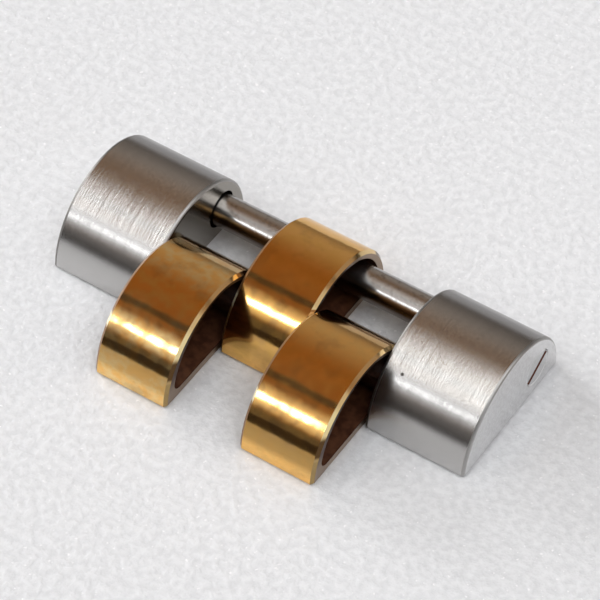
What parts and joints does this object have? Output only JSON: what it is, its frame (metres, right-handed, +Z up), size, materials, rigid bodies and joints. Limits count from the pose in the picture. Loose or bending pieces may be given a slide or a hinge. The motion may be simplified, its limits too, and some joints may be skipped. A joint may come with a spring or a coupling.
{
  "type": "watch bracelet link",
  "caption": "Removable watch bracelet row: half-round steel outer links, hollow gold inner links hinged on cross pins, and a slotted screw pin that draws out sideways.",
  "frame": {"origin": "centre of the middle link's flat underside, which is also the middle of the row between the outer links", "axes": "+X across the wrist towards the slotted screw head, +Y along the bracelet towards the row behind, +Z up through the crown"},
  "size_m": [0.0164, 0.0091, 0.003],
  "materials": {
    "brushed_steel": "satin, brushed along the bracelet",
    "polished_gold": "polished, lightly scratched",
    "polished_steel": "polished, worn"
  },
  "bodies": {
    "row_frame": {"outer_link_left": "brushed_steel", "outer_link_right": "brushed_steel", "middle_link": "polished_gold", "front_pin": "polished_steel"},
    "left_intermediate": {"intermediate_link_left": "polished_gold"},
    "right_intermediate": {"intermediate_link_right": "polished_gold"},
    "screw_pin": {"screw_pin": "polished_steel"}
  },
  "joints": [
    {"name": "left_intermediate_hinge", "type": "hinge", "parent": "row_frame", "child": "left_intermediate", "pos_m": [-0.0029, -0.00154, 0.00119], "axis": [1, 0, 0], "range_deg": [-125, 140]},
    {"name": "right_intermediate_hinge", "type": "hinge", "parent": "row_frame", "child": "right_intermediate", "pos_m": [0.0029, -0.00154, 0.00119], "axis": [1, 0, 0], "range_deg": [-125, 140]},
    {"name": "screw_pin_draw", "type": "slide", "parent": "row_frame", "child": "screw_pin", "axis": [1, 0, 0], "range_m": [0, 0.0117]}
  ]
}
